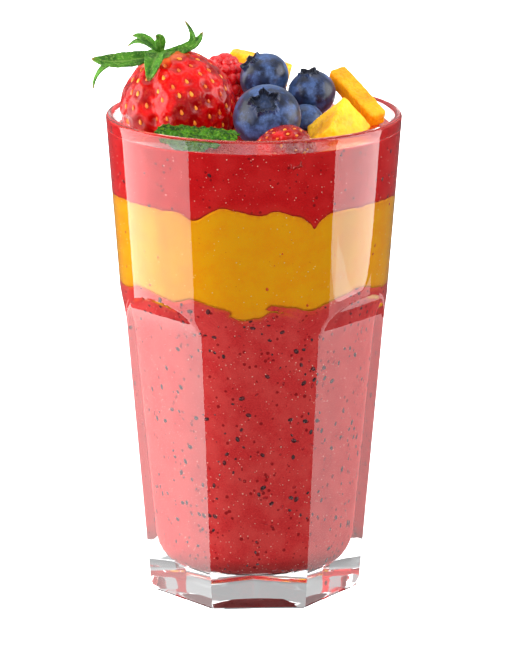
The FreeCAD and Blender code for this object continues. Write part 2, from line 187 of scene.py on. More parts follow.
class Tree:
    """Short calls to add and join the nodes of one node tree."""

    def __init__(self, tree):
        self.tree = tree

    def node(self, kind, feeds=None, **settings):
        node = self.tree.nodes.new(kind)
        for name, value in settings.items():
            setattr(node, name, value)
        for socket, value in (feeds or {}).items():
            self.feed(node.inputs[socket], value)
        return node

    def feed(self, socket, value):
        if isinstance(value, bpy.types.NodeSocket):
            self.tree.links.new(value, socket)
        else:
            socket.default_value = value

    def math(self, operation, *values, clamp=False):
        node = self.tree.nodes.new("ShaderNodeMath")
        node.operation = operation
        node.use_clamp = clamp
        for index, value in enumerate(values):
            self.feed(node.inputs[index], value)
        return node.outputs[0]

    def times(self, first, second):
        return self.math("MULTIPLY", first, second)

    def plus(self, first, second):
        return self.math("ADD", first, second)

    def mix(self, share, first, second):
        """A colour between two colours."""
        node = self.tree.nodes.new("ShaderNodeMix")
        node.data_type = "RGBA"
        for index, value in ((0, share), (6, first), (7, second)):
            self.feed(node.inputs[index], value)
        return node.outputs[2]

    def fade(self, value, low, high, to_low=0.0, to_high=1.0):
        """Maps a value from one range to another, held at both ends."""
        node = self.tree.nodes.new("ShaderNodeMapRange")
        node.interpolation_type = "SMOOTHSTEP"
        for index, item in enumerate((value, low, high, to_low, to_high)):
            self.feed(node.inputs[index], item)
        return node.outputs[0]

    def attribute(self, name):
        return self.node("ShaderNodeAttribute", attribute_name=name).outputs["Fac"]

    def stored(self, name, kind="FLOAT"):
        """A stored value of the mesh, in a geometry tree."""
        return self.node("GeometryNodeInputNamedAttribute", {"Name": name}, data_type=kind).outputs[0]

    def join(self, x=0.0, y=0.0, z=0.0):
        return self.node("ShaderNodeCombineXYZ", {0: x, 1: y, 2: z}).outputs[0]

    def split(self, vector):
        return self.node("ShaderNodeSeparateXYZ", {0: vector}).outputs

    def position(self):
        return self.node("GeometryNodeInputPosition").outputs[0]

    def noise(self, where, per_mm, detail=2.0, rough=0.5):
        node = self.node("ShaderNodeTexNoise", {"Vector": where, "Scale": per_mm * 1000.0,
                                                "Detail": detail, "Roughness": rough})
        return node.outputs["Fac"]

    def patches(self, where, per_mm, detail, *limits):
        """Noise with its contrast raised between two limits."""
        return self.fade(self.noise(where, per_mm, detail), *limits)

    def cells(self, where, per_mm, feature="F1", random=1.0):
        node = self.node("ShaderNodeTexVoronoi", {"Vector": where, "Scale": per_mm * 1000.0,
                                                  "Randomness": random}, feature=feature)
        return node


WHITE = (1.0, 1.0, 1.0, 1.0)


def tint(red, green, blue):
    """A screen colour (0 to 255) as a shader colour."""
    def linear(value):
        value /= 255.0
        return value / 12.92 if value <= 0.04045 else ((value + 0.055) / 1.055) ** 2.4
    return (linear(red), linear(green), linear(blue), 1.0)


def material(name, **sockets):
    """A new material; the given numbers are set on the shader's own sockets."""
    finish = bpy.data.materials.new(name)
    finish.use_nodes = True
    tree = Tree(finish.node_tree)
    shader = finish.node_tree.nodes["Principled BSDF"]
    for socket, value in sockets.items():
        shader.inputs[socket.replace("_", " ")].default_value = value
    return finish, tree, shader


def place_of(tree):
    return tree.node("ShaderNodeTexCoord").outputs["Object"]


def coat(tree, shader, colour, rough):
    tree.feed(shader.inputs["Base Color"], colour)
    tree.feed(shader.inputs["Roughness"], rough)


def bumped(tree, shader, height, strength, distance_mm):
    bump = tree.node("ShaderNodeBump", {"Height": height, "Strength": strength,
                                        "Distance": distance_mm * MM})
    tree.feed(shader.inputs["Normal"], bump.outputs["Normal"])


SOCKET_KINDS = {"Geometry": "Geometry", "Vector": "Vector", "Material": "Material",
                "Seed": "Int", "Roundness": "Int"}


def node_group(name, kind, inputs, outputs):
    """A new node group; its sockets are plain numbers unless SOCKET_KINDS says otherwise."""
    group = bpy.data.node_groups.new(name, kind)
    for side, labels in (("INPUT", inputs), ("OUTPUT", outputs)):
        for label in labels:
            socket_type = "NodeSocket" + SOCKET_KINDS.get(label, "Float")
            group.interface.new_socket(name=label, in_out=side, socket_type=socket_type)
    tree = Tree(group)
    return group, tree, tree.node("NodeGroupInput").outputs, tree.node("NodeGroupOutput").inputs


def make_pulp_grain():
    """Fruit pulp: an uneven tone, tiny pale flecks, small dark bits and a fine height."""
    group, tree, given, put = node_group(
        "pulp_grain", "ShaderNodeTree", ("Vector", "Grain", "Flecks", "Bits"),
        ("Tone", "Cloud", "Flecks", "Bits", "Height"))
    where = tree.node("ShaderNodeVectorMath", {0: given["Vector"], "Scale": given["Grain"]},
                      operation="SCALE").outputs[0]
    fine = tree.noise(where, 2.4, 3.0, 0.65)
    tiny = tree.noise(where, 7.0, 2.0, 0.6)
    broad = tree.noise(where, 0.16, 3.0, 0.6)
    tone = tree.plus(tree.times(fine, 0.55), tree.times(tiny, 0.45))
    tree.feed(put["Tone"], tree.fade(tone, 0.32, 0.68))
    tree.feed(put["Cloud"], tree.fade(broad, 0.35, 0.65))
    pale = tree.cells(where, 1.05)
    size = tree.times(tree.node("ShaderNodeSeparateColor", {0: pale.outputs["Color"]}).outputs[0], 0.20)
    near = tree.math("LESS_THAN", pale.outputs["Distance"], tree.times(size, given["Flecks"]))
    tree.feed(put["Flecks"], near)
    dark = tree.cells(where, 0.62)
    red = tree.node("ShaderNodeSeparateColor", {0: dark.outputs["Color"]})
    size = tree.times(tree.math("POWER", red.outputs[1], 3.0), 0.34)
    edge = tree.times(tree.math("SUBTRACT", tiny, 0.5), 0.35)
    near = tree.math("LESS_THAN", tree.plus(dark.outputs["Distance"], edge), tree.times(size, given["Bits"]))
    tree.feed(put["Bits"], near)
    tree.feed(put["Height"], tone)
    return group


PULP_GRAIN = make_pulp_grain()


def pulp(tree, where, grain, flecks, bits):
    node = tree.node("ShaderNodeGroup", node_tree=PULP_GRAIN)
    for name, value in (("Vector", where), ("Grain", grain), ("Flecks", flecks), ("Bits", bits)):
        tree.feed(node.inputs[name], value)
    return node.outputs


# ---------------------------------------------------------------- finishes

def smoothie_finish(name, deep, mid, pale, fleck, bit, seam, flecks, bits):
    """Puree seen through the glass; its upper and lower seams take on the next layer's colour."""
    finish, tree, shader = material(name, Roughness=0.55, Specular_IOR_Level=0.12, IOR=1.35)
    where = place_of(tree)
    grain = pulp(tree, where, 1.0, flecks, bits)
    colour = tree.mix(grain["Tone"], deep, mid)
    colour = tree.mix(tree.times(grain["Cloud"], 0.45), colour, pale)
    colour = tree.mix(tree.times(grain["Bits"], 0.85), colour, bit)
    colour = tree.mix(tree.times(grain["Flecks"], 0.75), colour, fleck)
    edge = tree.times(tree.attribute("seam"), tree.patches(where, 0.9, 3.0, 0.3, 0.6))
    colour = tree.mix(tree.times(edge, 0.7), colour, seam)
    tree.feed(shader.inputs["Base Color"], colour)
    bumped(tree, shader, grain["Height"], 0.35, 0.15)
    return finish


def wet_top_finish(name, deep, mid, fleck):
    """The open, wet top of the drink."""
    finish, tree, shader = material(name, Specular_IOR_Level=0.5, IOR=1.35,
                                    Coat_Weight=0.6, Coat_Roughness=0.06)
    where = place_of(tree)
    grain = pulp(tree, where, 1.0, 1.2, 0.8)
    colour = tree.mix(grain["Tone"], deep, mid)
    colour = tree.mix(grain["Flecks"], colour, fleck)
    coat(tree, shader, colour, tree.fade(grain["Tone"], 0.0, 1.0, 0.22, 0.38))
    bumped(tree, shader, tree.plus(grain["Height"], tree.noise(where, 0.35, 2.0)), 0.35, 0.5)
    return finish


def glass_finish():
    finish, tree, shader = material("clear_pressed_glass", Transmission_Weight=1.0, IOR=1.5,
                                    Base_Color=(0.985, 0.992, 0.99, 1.0))
    where = place_of(tree)
    tree.feed(shader.inputs["Roughness"], tree.patches(where, 0.05, 2.0, 0.4, 0.75, 0.0, 0.012))
    bumped(tree, shader, tree.noise(where, 0.045, 1.0, 0.4), 0.06, 1.2)
    return finish


def seed_finish(name, dark, brown, rough=0.45):
    finish, tree, shader = material(name, Specular_IOR_Level=0.35)
    where = place_of(tree)
    coat(tree, shader, tree.mix(tree.patches(where, 0.35, 2.0, 0.35, 0.65), dark, brown),
         tree.patches(where, 2.0, 2.0, 0.2, 0.8, rough - 0.1, rough + 0.15))
    bumped(tree, shader, tree.noise(where, 3.0, 2.0), 0.4, 0.1)
    return finish


def strawberry_finish(name, red, deep, pale):
    """Wet skin with painted shade in the hollows round the seeds, pale where the leaves grew."""
    finish, tree, shader = material(name, Specular_IOR_Level=0.25, IOR=1.4, Coat_Weight=0.30,
                                    Coat_Roughness=0.04, Subsurface_Weight=0.05,
                                    Subsurface_Scale=0.0012, Subsurface_Radius=(1.0, 0.25, 0.15))
    where = place_of(tree)
    broad = tree.patches(where, 0.12, 2.0, 0.35, 0.65)
    colour = tree.mix(broad, red, deep)
    # painted shade: the hollows round the seeds are darkened towards the deep red
    colour = tree.mix(tree.times(tree.attribute("hollow"), 0.55), colour, deep)
    streaks = tree.fade(tree.noise(where, 0.9, 3.0, 0.7), 0.5, 0.72)
    colour = tree.mix(tree.times(streaks, 0.12), colour, pale)
    colour = tree.mix(tree.attribute("shoulder"), colour, pale)
    coat(tree, shader, colour, tree.patches(where, 0.8, 3.0, 0.3, 0.7, 0.12, 0.24))
    folds = tree.plus(tree.noise(where, 0.55, 2.0), tree.times(tree.noise(where, 2.6, 2.0), 0.25))
    bumped(tree, shader, folds, 0.55, 0.7)
    return finish


def raspberry_finish():
    finish, tree, shader = material("raspberry_drupelets", Specular_IOR_Level=0.5, Coat_Weight=0.4,
                                    Coat_Roughness=0.15, Subsurface_Weight=0.2,
                                    Subsurface_Scale=0.0012, Subsurface_Radius=(1.0, 0.2, 0.15))
    where = place_of(tree)
    colour = tree.mix(tree.patches(where, 0.5, 2.0, 0.35, 0.65), tint(176, 4, 12), tint(204, 18, 22))
    # small pale spots: painted highlights on the drupelets
    colour = tree.mix(tree.patches(where, 3.0, 2.0, 0.62, 0.78), colour, tint(226, 104, 84))
    coat(tree, shader, colour, tree.patches(where, 2.0, 2.0, 0.3, 0.7, 0.2, 0.45))
    bumped(tree, shader, tree.noise(where, 3.0, 3.0), 0.4, 0.2)
    return finish


def blueberry_finish():
    """Dark skin under a pale waxy bloom that is rubbed off in places."""
    finish, tree, shader = material("blueberry_skin_with_bloom", Specular_IOR_Level=0.4,
                                    Sheen_Weight=0.12, Sheen_Roughness=0.5,
                                    Sheen_Tint=tint(150, 180, 225))
    where = place_of(tree)
    worn = tree.fade(tree.noise(where, 0.17, 4.0, 0.62), 0.44, 0.62)
    scuffs = tree.fade(tree.noise(where, 1.1, 4.0, 0.7), 0.42, 0.62)
    dust = tree.times(worn, tree.plus(0.55, tree.times(scuffs, 0.45)))
    skin = tree.mix(tree.patches(where, 0.4, 2.0, 0.35, 0.65), tint(10, 14, 30), tint(22, 32, 60))
    colour = tree.mix(dust, skin, tint(56, 80, 126))
    speck = tree.math("LESS_THAN", tree.cells(where, 1.4).outputs["Distance"], 0.10)
    colour = tree.mix(tree.times(speck, 0.5), colour, tint(96, 124, 168))
    # the crown's own dark colour, partly real and partly painted shade in its pit and edge crease
    colour = tree.mix(tree.attribute("crown"), colour, tint(14, 15, 24))
    coat(tree, shader, colour, tree.fade(dust, 0.0, 1.0, 0.30, 0.52))
    bumped(tree, shader, tree.noise(where, 1.6, 3.0), 0.25, 0.2)
    return finish


def mango_finish(name, bright, deep, pale):
    """Cut mango: moist, with faint fibres."""
    finish, tree, shader = material(name, Specular_IOR_Level=0.3, IOR=1.38, Coat_Weight=0.12,
                                    Coat_Roughness=0.2, Subsurface_Weight=0.25,
                                    Subsurface_Scale=0.002, Subsurface_Radius=(1.0, 0.7, 0.15))
    where = place_of(tree)
    along = tree.node("ShaderNodeMapping", {"Vector": where, "Rotation": (0.5, 0.4, 0.9),
                                            "Scale": (1.0, 1.0, 0.22)}).outputs[0]
    fibres = tree.fade(tree.noise(along, 1.1, 4.0, 0.6), 0.35, 0.65)
    colour = tree.mix(tree.patches(where, 0.14, 2.0, 0.35, 0.65), bright, deep)
    colour = tree.mix(tree.times(fibres, 0.3), colour, pale)
    coat(tree, shader, colour, tree.fade(fibres, 0.0, 1.0, 0.34, 0.55))
    bumped(tree, shader, tree.plus(fibres, tree.noise(where, 0.5, 3.0)), 0.45, 0.35)
    return finish


def leaf_finish(name, green, dark, pale, rib, brown):
    """A leaf blade: paler rib and edges, a brown tip."""
    finish, tree, shader = material(name, Specular_IOR_Level=0.18, Subsurface_Weight=0.1,
                                    Subsurface_Scale=0.001, Subsurface_Radius=(0.6, 1.0, 0.2))
    where = place_of(tree)
    colour = tree.mix(tree.patches(where, 0.4, 3.0, 0.35, 0.65), green, dark)
    colour = tree.mix(tree.patches(where, 1.8, 3.0, 0.5, 0.7, 0.0, 0.5), colour, pale)
    colour = tree.mix(tree.attribute("rib"), colour, rib)
    colour = tree.mix(tree.attribute("tip"), colour, brown)
    coat(tree, shader, colour, tree.patches(where, 1.5, 2.0, 0.3, 0.7, 0.38, 0.6))
    bumped(tree, shader, tree.noise(where, 2.2, 3.0), 0.5, 0.25)
    return finish


def floor_finish():
    finish, tree, shader = material("pale_floor", Specular_IOR_Level=0.2, Emission_Strength=0.3,
                                    Emission_Color=WHITE)
    where = place_of(tree)
    coat(tree, shader, tree.mix(tree.noise(where, 0.004, 2.0), (0.90, 0.90, 0.90, 1), (0.93, 0.93, 0.93, 1)),
         tree.patches(where, 0.02, 2.0, 0.2, 0.8, 0.6, 0.75))
    return finish


# ---------------------------------------------------------------- geometry node trees

def geometry_group(name, *inputs):
    return node_group(name, "GeometryNodeTree", ("Geometry",) + inputs, ("Geometry",))


def with_tree(piece, group, **values):
    """Adds the node tree to the piece with its inputs set, and applies it."""
    modifier = piece.modifiers.new(group.name, "NODES")
    modifier.node_group = group
    named = {item.name.replace(" ", "_"): item.identifier for item in group.interface.items_tree
             if item.item_type == "SOCKET" and item.in_out == "INPUT"}
    for name, value in values.items():
        modifier[named[name]] = value
    return applied(piece)


def make_press_sides():
    """Presses flat sides, which run out in an arch at the top, into a round wall."""
    group, tree, given, put = geometry_group(
        "press_flat_sides", "Sides", "Turn", "Foot distance", "Slope", "Arch start", "Arch radius",
        "Edge softness")
    x, y, z = tree.split(tree.position())
    m = tree.math
    far = m("SQRT", m("ADD", m("MULTIPLY", x, x), m("MULTIPLY", y, y)))
    turn = m("ARCTAN2", x, m("MULTIPLY", y, -1.0))
    half = m("DIVIDE", math.pi, given["Sides"])
    from_middle = m("WRAP", m("SUBTRACT", turn, given["Turn"]), half, m("MULTIPLY", half, -1.0))
    slope = given["Slope"]
    slant = m("SQRT", m("ADD", m("MULTIPLY", slope, slope), 1.0))
    start_flat = m("MULTIPLY_ADD", slope, given["Arch start"], given["Foot distance"])
    arch_x = m("ADD", start_flat, m("DIVIDE", given["Arch radius"], slant))
    drop = m("DIVIDE", m("MULTIPLY", slope, given["Arch radius"]), slant)
    arch_z = m("SUBTRACT", given["Arch start"], drop)
    rise = m("MAXIMUM", m("SUBTRACT", z, arch_z), 0.0)
    rest = m("MAXIMUM", m("SUBTRACT", m("MULTIPLY", given["Arch radius"], given["Arch radius"]),
                          m("MULTIPLY", rise, rise)), 0.0)
    arch = m("SUBTRACT", arch_x, m("SQRT", rest))
    flat = m("MULTIPLY_ADD", slope, z, given["Foot distance"])
    above = m("GREATER_THAN", z, given["Arch start"])
    side = m("ADD", m("MULTIPLY", flat, m("SUBTRACT", 1.0, above)), m("MULTIPLY", arch, above))
    side = m("DIVIDE", side, m("COSINE", from_middle))
    kept = m("SMOOTH_MIN", far, side, given["Edge softness"])
    press = tree.stored("press")
    kept = m("SUBTRACT", kept, tree.stored("inset"))
    share = m("DIVIDE", kept, m("MAXIMUM", far, 1e-6))
    share = m("ADD", m("MULTIPLY", share, press), m("SUBTRACT", 1.0, press))
    moved = tree.join(m("MULTIPLY", x, share), m("MULTIPLY", y, share), z)
    done = tree.node("GeometryNodeSetPosition", {"Geometry": given["Geometry"], "Position": moved})
    tree.feed(put["Geometry"], done.outputs[0])
    return group


def round_grain(tree, given):
    grain = tree.node("GeometryNodeMeshIcoSphere", {"Radius": 0.5, "Subdivisions": given["Roundness"]})
    return grain.outputs[0]


def put_grains(tree, given, put, points, grain, aim, scale):
    """Sizes the grain and puts it on every point, as one real mesh with its finish."""
    size = tree.join(given["Length"], given["Width"], given["Thickness"])
    grain = tree.node("GeometryNodeTransform", {"Geometry": grain, "Scale": size}).outputs[0]
    placed = tree.node("GeometryNodeInstanceOnPoints", {"Points": points, "Instance": grain,
                                                        "Rotation": aim.outputs[0], "Scale": scale})
    real = tree.node("GeometryNodeRealizeInstances", {0: placed.outputs[0]})
    soft = tree.node("GeometryNodeSetShadeSmooth", {"Geometry": real.outputs[0]})
    done = tree.node("GeometryNodeSetMaterial", {"Geometry": soft.outputs[0], "Material": given["Material"]})
    tree.feed(put["Geometry"], done.outputs[0])


def make_scatter():
    """Scatters small rounded grains over the part of a surface marked 'shows'."""
    group, tree, given, put = geometry_group(
        "scatter_grains", "Per square mm", "Apart", "Patchiness", "Seed", "Length", "Width", "Thickness",
        "Smallest", "Largest", "Sink", "Roundness", "Material")
    m = tree.math
    cloud = tree.fade(tree.noise(tree.position(), 0.09, 2.0), 0.4, 0.6)
    share = m("ADD", m("SUBTRACT", 1.0, given["Patchiness"]), m("MULTIPLY", cloud, given["Patchiness"]))
    spread = tree.node("GeometryNodeDistributePointsOnFaces", {
        "Mesh": given["Geometry"], "Distance Min": given["Apart"],
        "Density Max": m("MULTIPLY", given["Per square mm"], 1e6),
        "Density Factor": m("MULTIPLY", tree.stored("shows"), share), "Seed": given["Seed"]},
        distribute_method="POISSON")
    down = tree.node("ShaderNodeVectorMath", {
        0: spread.outputs["Normal"], "Scale": m("MULTIPLY", given["Sink"], -1.0)}, operation="SCALE")
    points = tree.node("GeometryNodeSetPosition", {"Geometry": spread.outputs["Points"],
                                                   "Offset": down.outputs[0]}).outputs[0]
    spin = tree.node("FunctionNodeRandomValue", {2: 0.0, 3: 6.283, "Seed": given["Seed"]}, data_type="FLOAT")
    spin = tree.node("FunctionNodeEulerToRotation", {0: tree.join(z=spin.outputs[1])})
    aim = tree.node("FunctionNodeRotateRotation", {0: spread.outputs["Rotation"], 1: spin.outputs[0]},
                    rotation_space="LOCAL")
    scale = tree.node("FunctionNodeRandomValue", {2: given["Smallest"], 3: given["Largest"], "Seed": 7},
                      data_type="FLOAT")
    put_grains(tree, given, put, points, round_grain(tree, given), aim, scale.outputs[1])
    return group


def make_place_grains():
    """Puts one tapered grain on each point, lying on 'facing' with its length along 'along'."""
    group, tree, given, put = geometry_group(
        "place_grains", "Length", "Width", "Thickness", "Taper", "Roundness", "Material")
    m = tree.math
    x, y, z = tree.split(tree.position())
    slim = m("SUBTRACT", 1.0, m("MULTIPLY", m("MULTIPLY", x, 2.0), given["Taper"]))
    grain = tree.node("GeometryNodeSetPosition", {
        "Geometry": round_grain(tree, given), "Position": tree.join(x, m("MULTIPLY", y, slim), z)})
    aim = tree.node("FunctionNodeAxesToRotation", {
        0: tree.stored("facing", "FLOAT_VECTOR"), 1: tree.stored("along", "FLOAT_VECTOR")},
        primary_axis="Z", secondary_axis="X")
    put_grains(tree, given, put, given["Geometry"], grain.outputs[0], aim, tree.stored("size"))
    return group


PRESS_SIDES = make_press_sides()
SCATTER = make_scatter()
PLACE_GRAINS = make_place_grains()


def grains_on(name, places, facings, alongs, sizes, finish, **shape):
    """One mesh of grains at the given places, in millimetres."""
    mesh = bpy.data.meshes.new(name)
    mesh.from_pydata((np.asarray(places) * MM).tolist(), [], [])
    for label, values in (("facing", facings), ("along", alongs)):
        layer = mesh.attributes.new(label, "FLOAT_VECTOR", "POINT")
        layer.data.foreach_set("vector", np.asarray(values, np.float32).ravel())
    layer = mesh.attributes.new("size", "FLOAT", "POINT")
    layer.data.foreach_set("value", np.asarray(sizes, np.float32))
    return with_tree(linked(name, mesh), PLACE_GRAINS, Material=finish, **shape)


# ---------------------------------------------------------------- the tumbler

LOW_SLOPE = (WAIST_CAVITY - FOOT_CAVITY) / (WAIST_LEVEL - FLOOR_TOP)
HIGH_SLOPE = (RIM_CAVITY - WAIST_CAVITY) / (HEIGHT - WAIST_LEVEL)
CORNER_LEAN = math.atan(LOW_SLOPE)
CORNER_MIDDLE = FOOT_CAVITY + LOW_SLOPE * CORNER - CORNER / math.cos(CORNER_LEAN)
CORNER_END = FLOOR_TOP + CORNER * (1.0 - math.sin(CORNER_LEAN))


def cavity_radius(height):
    """Inner radius of the tumbler: a round floor corner, a steep wall and a wider-leaning upper wall."""
    height = np.asarray(height, float)
    low_wall = FOOT_CAVITY + LOW_SLOPE * (height - FLOOR_TOP)
    high_wall = WAIST_CAVITY + HIGH_SLOPE * (height - WAIST_LEVEL)
    reach = WAIST_ROUND * math.tan((math.atan(HIGH_SLOPE) - CORNER_LEAN) / 2.0)
    start_z = WAIST_LEVEL - reach * math.cos(CORNER_LEAN)
    end_z = WAIST_LEVEL + reach * math.cos(math.atan(HIGH_SLOPE))
    middle_r = WAIST_CAVITY - reach * math.sin(CORNER_LEAN) + WAIST_ROUND * math.cos(CORNER_LEAN)
    middle_z = start_z - WAIST_ROUND * math.sin(CORNER_LEAN)
    bend = middle_r - np.sqrt(WAIST_ROUND ** 2 - np.clip(height - middle_z, -60.0, 60.0) ** 2)
    wall = np.where(height < start_z, low_wall, np.where(height > end_z, high_wall, bend))
    low = np.clip(CORNER ** 2 - (FLOOR_TOP + CORNER - height) ** 2, 0.0, None)
    return np.where(height < CORNER_END, CORNER_MIDDLE + np.sqrt(low), wall)


def cone_radius(height):
    """Outer radius of the tumbler, before the sides are pressed."""
    return CONE_FOOT + CONE_LEAN * height


def make_tumbler():
    """Rings from under the foot, up the outside, over the lip and down to the middle of the floor."""
    columns_a_side = 44
    count = SIDES * columns_a_side
    angles = SIDE_TURN + math.pi / SIDES + 2 * math.pi * np.arange(count) / count
    rows = []           # height, radius, pressed, inset

    def row(height, radius, press=0.0, inset=0.0):
        rows.append((height, radius, press, inset))

    for inset, height in ((15.5, 1.15), (13.3, 1.12), (8.0, 0.62), (2.6, 0.1), (2.1, 0.0), (1.5, 0.0),
                          (0.9, 0.1), (0.45, 0.36), (0.15, 0.8), (0.03, 1.3)):
        row(height, cone_radius(0.0), 1.0, inset)
    for height in np.concatenate([np.linspace(2.0, 78.0, 40), np.linspace(78.8, 98.0, 50),
                                  np.linspace(99.0, HEIGHT - LIP_ROUND, 24)]):
        row(height, cone_radius(height), 1.0, 0.0)
    quarter = np.linspace(0.0, math.pi / 2, 7)
    for middle, turns in ((LIP_OUTSIDE, quarter[1:]), (LIP_INSIDE, quarter + math.pi / 2)):
        for turn in turns:
            row(HEIGHT - LIP_ROUND + LIP_ROUND * math.sin(turn), middle + LIP_ROUND * math.cos(turn))
    for height in np.linspace(HEIGHT - 2 * LIP_ROUND, CORNER_END + 0.7, 52):
        row(height, float(cavity_radius(height)))
    for turn in np.linspace(-CORNER_LEAN, -math.pi / 2, 14):
        row(FLOOR_TOP + CORNER + CORNER * math.sin(turn), CORNER_MIDDLE + CORNER * math.cos(turn))
    for radius in (11.0, 7.0, 3.0):
        row(FLOOR_TOP, radius)
    points = np.concatenate([
        np.stack([radius * np.sin(angles), -radius * np.cos(angles), np.full(count, height)], 1)
        for height, radius, _, _ in rows])
    mesh = bpy.data.meshes.new("tumbler")
    mesh.from_pydata((points * MM).tolist(), [], ring_faces(count, len(rows)))
    piece = linked("tumbler", mesh)
    mark(piece, "press", np.repeat([r[2] for r in rows], count))
    mark(piece, "inset", np.repeat([r[3] * MM for r in rows], count))
    with_tree(piece, PRESS_SIDES, Sides=float(SIDES), Turn=SIDE_TURN, Foot_distance=FACET_FOOT * MM,
              Slope=FACET_LEAN, Arch_start=ARCH_START * MM, Arch_radius=ARCH_ROUND * MM,
              Edge_softness=0.3 * MM)
    turned_out(piece.data)
    finished(piece, glass_finish())
    piece.data.set_sharp_from_angle(angle=math.radians(16.0))
    return piece


# ---------------------------------------------------------------- the drink

def hills(angle, base, bumps):
    """A level that rises or falls at some places round the glass: angle, half width, rise."""
    degrees = np.degrees(angle)
    level = np.full(degrees.shape, float(base))
    for middle, width, rise in bumps:
        gap = (degrees - middle + 180.0) % 360.0 - 180.0
        level += rise * np.exp(-(gap / width) ** 2)
    for count, size, shift in ((19, 0.13, 0.4), (31, 0.11, 2.1), (53, 0.07, 0.9), (97, 0.04, 1.7)):
        level += size * np.sin(count * angle + shift) * (0.4 + 0.6 * np.sin(3 * angle + shift) ** 2)
    return level


def mango_top(angle):
    return hills(angle, 117.75, (
        (-27, 5, -1.9), (-14, 6, 2.0), (-6, 5, 1.2), (10, 5, 1.5), (27, 5.5, -2.9), (27.6, 1.3, -1.6),
        (90, 15, -1.1), (-90, 12, -0.7), (130, 12, 1.4), (165, 10, -1.5), (-130, 14, 1.2), (-155, 8, -1.6)))


def mango_foot(angle):
    return hills(angle, 90.5, (
        (-65, 13, 2.3), (-48, 5, 0.2), (-31, 7, 1.6), (-5, 9, -2.6), (3, 2.5, -0.7), (9, 3.5, 0.8),
        (14, 6, 0.3), (29, 8, -1.5), (60, 15, 2.7), (90, 10, -0.2), (125, 10, -1.2), (155, 14, 1.2),
        (-120, 12, 1.0), (-150, 9, -1.4)))


def make_layer(name, foot, top, rows, finish, top_finish=None, cap_rise=None):
    """One layer of the drink, reaching just into the wall of the glass."""
    count = 480
    angles = 2 * np.pi * np.arange(count) / count
    low = foot(angles)
    high = top(angles)
    rings, shows, seam = [], [], []

    def ring(heights, share, wall):
        radius = (cavity_radius(heights if wall else np.clip(heights, FLOOR_TOP, None)) + INTO_WALL) * share
        rings.append(np.stack([radius * np.sin(angles), -radius * np.cos(angles), heights], 1))
        shows.append(np.full(count, 1.0 if wall else 0.0))
        near = np.minimum(np.abs(heights - low), np.abs(high - heights))
        if low.max() < 20.0:
            near = np.abs(high - heights)
        if high.min() > 130.0:
            near = np.abs(heights - low)
        seam.append(np.exp(-near / 0.7) * (1.0 if wall else 0.0))

    for share in (0.25, 0.55, 0.8, 0.93):
        middle = float(low.mean())
        ring(middle + (low - middle) * share ** 2, share, False)
    for step in np.linspace(0.0, 1.0, rows):
        ring(low + (high - low) * step, 1.0, True)
    for share in (0.985, 0.96, 0.93, 0.9, 0.8, 0.7, 0.6, 0.5, 0.4, 0.3, 0.2, 0.1):
        middle = float(high.mean())
        heights = middle + (high - middle) * share ** 2
        if cap_rise:
            heights = middle + cap_rise(angles, share)
        ring(heights, share, False)
    points = np.concatenate(rings)
    piece = build(name, points, ring_faces(count, len(rings)))
    mark(piece, "shows", np.concatenate(shows))
    mark(piece, "seam", np.concatenate(seam))
    piece.data.materials.append(finish)
    if top_finish:
        piece.data.materials.append(top_finish)
        for face in piece.data.polygons:
            if face.center.z > (LEVEL - 1.5) * MM and face.normal.z > 0.35:
                face.material_index = 1
    return piece


def make_drink():
    lower_red = smoothie_finish(
        "berry_smoothie_by_the_glass", tint(200, 28, 35), tint(232, 64, 63), tint(236, 85, 80),
        tint(250, 178, 160), tint(140, 2, 12), tint(222, 96, 30), 0.6, 1.1)
    mango = smoothie_finish(
        "mango_smoothie_by_the_glass", tint(255, 152, 0), tint(255, 176, 0), tint(255, 186, 2),
        tint(255, 222, 100), tint(222, 104, 6), tint(232, 100, 16), 0.5, 0.35)
    upper_red = smoothie_finish(
        "upper_berry_smoothie_by_the_glass", tint(196, 2, 9), tint(226, 20, 26), tint(236, 46, 45),
        tint(250, 160, 140), tint(132, 0, 8), tint(216, 60, 14), 0.6, 0.9)
    wet_red = wet_top_finish("wet_berry_surface", tint(168, 8, 8), tint(206, 34, 18), tint(236, 120, 80))

    def floor_of_cavity(angle):
        return np.full(angle.shape, FLOOR_TOP - INTO_WALL)

    def open_top(angle):
        return np.full(angle.shape, LEVEL + 0.35)

    def surface_rise(angle, share):
        meniscus = 0.0 if share < 0.97 else 0.25
        return meniscus - 0.35 + 0.22 * np.sin(5 * angle + 9 * share) * share + 0.12 * np.sin(11 * angle)

    return [
        make_layer("berry_layer", floor_of_cavity, mango_foot, 60, lower_red),
        make_layer("mango_smoothie", mango_foot, mango_top, 34, mango),
        make_layer("top_berry_layer", mango_top, open_top, 24, upper_red, wet_red, surface_rise),
    ]


# ---------------------------------------------------------------- turned fruit

def seat(aim):
    """Right, away and aim: three directions of a fruit whose own axis looks along aim."""
    aim = unit(aim)
    right = unit(np.array([1.0, 0.0, 0.0]) - aim[0] * aim)
    return right, np.cross(aim, right), aim


def on_berry(place, aim, radius, rise, drop, lift, turn):
    """Points and outward directions on a two-part ellipsoid at the given lift and turn angles."""
    right, away, up = seat(aim)
    lift, turn = np.asarray(lift), np.asarray(turn)
    reach = np.where(lift > 0, rise, drop)
    across = np.cos(turn)[..., None] * right + np.sin(turn)[..., None] * away
    points = np.asarray(place) + (radius * np.cos(lift))[..., None] * across + \
        (reach * np.sin(lift))[..., None] * up
    outward = (np.cos(lift) / radius)[..., None] * across + (np.sin(lift) / reach)[..., None] * up
    outward /= np.linalg.norm(outward, axis=-1, keepdims=True)
    along = -(radius * np.sin(lift))[..., None] * across + (reach * np.cos(lift))[..., None] * up
    along /= np.linalg.norm(along, axis=-1, keepdims=True)
    return points, outward, along


